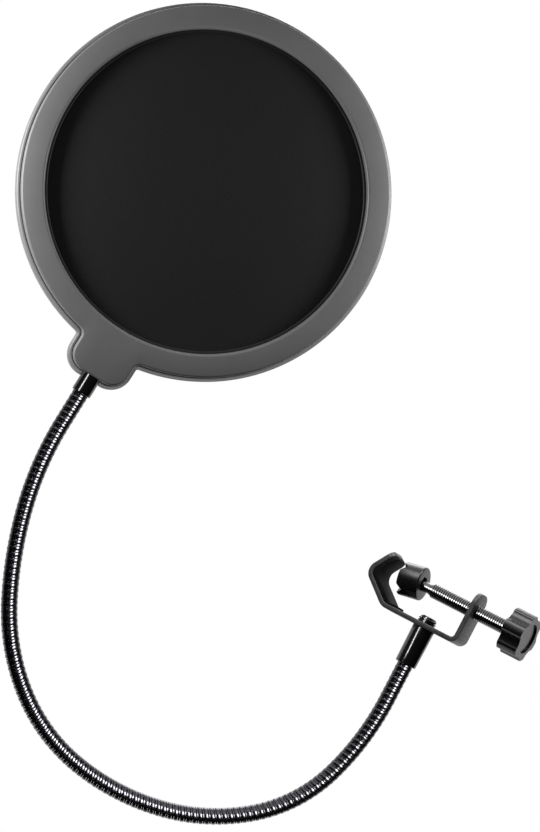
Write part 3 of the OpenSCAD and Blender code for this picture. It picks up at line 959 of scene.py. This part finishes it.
AIM = Vector((-0.0600, 0.0103, 0.0696))
DISTANCE = 1.15
AZIMUTH = -8.7
ELEVATION = 1.0
LENS = 121.4
SENSOR = 36.0
AMBIENT = 0.08  # the world's light on the object
ROOM = 2.2  # half the width of the dark room
ROOM_BACK = 0.6  # how far it reaches behind the object
FLOOR = 1.4  # half the floor's width
FLOOR_Z = -0.6
FLOOR_SUN = 3.3  # a light that only the floor receives


def towards(azimuth, elevation):
    """The direction from the object to something at that azimuth, 0 in front and 90 on the right."""
    a, e = math.radians(azimuth), math.radians(elevation)
    return Vector((math.sin(a) * math.cos(e), -math.cos(a) * math.cos(e), math.sin(e)))


def camera():
    data = bpy.data.cameras.new("camera")
    data.sensor_fit, data.sensor_height, data.lens = "VERTICAL", SENSOR, LENS
    made = bpy.data.objects.new("camera", data)
    back = towards(AZIMUTH, ELEVATION)
    made.location = AIM + DISTANCE * back
    made.rotation_euler = (-back).to_track_quat("-Z", "Y").to_euler()
    scene.collection.objects.link(made)
    scene.camera = made


def softbox(name, at, aim, width, height, power):
    data = bpy.data.lights.new(name, "AREA")
    data.shape, data.size, data.size_y, data.energy = "RECTANGLE", width, height, power
    made = bpy.data.objects.new(name, data)
    made.location = at
    made.rotation_euler = (Vector(aim) - Vector(at)).to_track_quat("-Z", "Y").to_euler()
    made.visible_camera = False
    scene.collection.objects.link(made)
    return made


def world():
    """White behind the object and in its reflections, and a soft even light on it."""
    made = bpy.data.worlds.new("studio")
    made.use_nodes = True
    tree = made.node_tree
    paths = tree.nodes.new("ShaderNodeLightPath")
    seen = None
    for name in ("Is Camera Ray", "Is Glossy Ray", "Is Transmission Ray"):
        if seen is None:
            seen = paths.outputs[name]
            continue
        either = tree.nodes.new("ShaderNodeMath")
        either.operation = "MAXIMUM"
        tree.links.new(seen, either.inputs[0])
        tree.links.new(paths.outputs[name], either.inputs[1])
        seen = either.outputs[0]
    strength = tree.nodes.new("ShaderNodeMapRange")
    tree.links.new(seen, strength.inputs[0])
    strength.inputs[3].default_value = AMBIENT
    strength.inputs[4].default_value = 1.0
    tree.links.new(strength.outputs[0], tree.nodes["Background"].inputs["Strength"])
    tree.nodes["Background"].inputs["Color"].default_value = (1, 1, 1, 1)
    scene.world = made


def lights_only(lamp, pieces):
    """Limits a lamp to some pieces, as a card beside the lamp would."""
    group = bpy.data.collections.new(lamp.name + "_lights")
    for made in pieces:
        group.objects.link(made)
    lamp.light_linking.receiver_collection = group


def stage_piece(name, bm, colour):
    data = bpy.data.meshes.new(name)
    bm.to_mesh(data)
    bm.free()
    data.materials.append(Finish(name, colour, 0.7).material)
    made = bpy.data.objects.new(name, data)
    scene.collection.objects.link(made)
    made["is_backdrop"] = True
    return made


def dark_room():
    """Dark cards below, in front and on both sides, which only reflections show."""
    bm = bmesh.new()
    bmesh.ops.create_cube(bm, size=2 * ROOM)
    bmesh.ops.translate(bm, verts=bm.verts, vec=(0, ROOM_BACK - ROOM, 0))
    back = max(bm.faces, key=lambda face: face.calc_center_median().y)
    top = max(bm.faces, key=lambda face: face.calc_center_median().z)
    bmesh.ops.delete(bm, geom=[back, top], context="FACES")
    made = stage_piece("dark_room", bm, (0.01, 0.01, 0.01))
    made.visible_camera = False
    made.visible_diffuse = False
    made.visible_shadow = False
    made.visible_transmission = False


def studio():
    scene.view_settings.view_transform = "Standard"
    world()
    dark_room()
    disc = shield_middle * MM
    clamp = Vector((0, 0, 0))
    left = disc + Vector((-0.19, -0.06, 0.035))
    right = disc + Vector((0.19, -0.06, 0.0))
    softbox("left_box", left, disc + Vector((-0.07, 0, 0)), 0.05, 0.12, 0.60)
    softbox("right_box", right, disc + Vector((0.07, 0, 0)), 0.05, 0.12, 0.38)
    softbox("right_strip", disc + 0.8 * towards(23, -6), disc - Vector((0.04, 0, 0.06)), 0.34, 0.55, 13.0)
    softbox("left_strip", disc + 0.8 * towards(-43, 17), disc - Vector((-0.02, 0, 0.10)), 0.12, 0.40, 3.6)
    softbox("low_box", disc + 0.4 * towards(-5, -50), disc, 0.30, 0.20, 0.9)
    softbox("overhead", clamp + 0.6 * towards(-30, 60), clamp, 0.30, 0.30, 1.6)
    softbox("back_fill", disc + 0.9 * towards(165, 30), disc, 0.6, 0.6, 4.0)
    ground()


def ground():
    """A pale floor with a lamp of its own, whose reflection and bounced light don't reach the object."""
    bm = bmesh.new()
    bmesh.ops.create_grid(bm, x_segments=1, y_segments=1, size=FLOOR)
    bmesh.ops.translate(bm, verts=bm.verts, vec=(0, 0, FLOOR_Z))
    floor = stage_piece("floor", bm, (0.8, 0.8, 0.8))
    floor.visible_diffuse = False
    floor.visible_glossy = False
    data = bpy.data.lights.new("floor_sun", "SUN")
    data.energy, data.angle = FLOOR_SUN, math.radians(20)
    sun = bpy.data.objects.new("floor_sun", data)
    scene.collection.objects.link(sun)
    lights_only(sun, [floor])


# ---- The object ----


def finish_cad_node(name, material):
    """Gives a CAD node that stays its own finish."""
    data = frame["nodes"][name].data
    data.materials.clear()
    data.materials.append(material)


camera()
studio()

front_frame()
rear_frame()
hoop("front_hoop", LIP_Z - HOOP_T, LIP_Z)
hoop("spacer_hoop", -SPACER_T / 2, SPACER_T / 2)
hoop("rear_hoop", -LIP_Z, HOOP_T - LIP_Z)
mesh_sheet("front_mesh", SPACER_T / 2)
mesh_sheet("rear_mesh", -SPACER_T / 2 - MESH_T)
collar()
neck_coils()
ferrule()
stud()
bracket()
jaw_liner()
clamp_screw()
knob()
pressure_pad()
# Which pieces each lamp lights, by the start of their names
LIT_BY = {
    "left_strip": ("upper", "lower", "clamp", "stud"),
    "overhead": ("bracket", "jaw", "knob", "pressure"),
    "right_strip": ("neck",),
    "low_box": ("rear",),
    "left_box": ("front", "rear", "spacer"),
    "right_box": ("front", "rear", "spacer", "bracket", "jaw", "knob", "pressure"),
}
for lamp_name, starts in LIT_BY.items():
    lights_only(scene.objects[lamp_name], [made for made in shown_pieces() if made.name.startswith(starts)])
finish_cad_node("retaining_ring", ZINC_STEEL)
finish_cad_node("tab_screws", ZINC_STEEL)
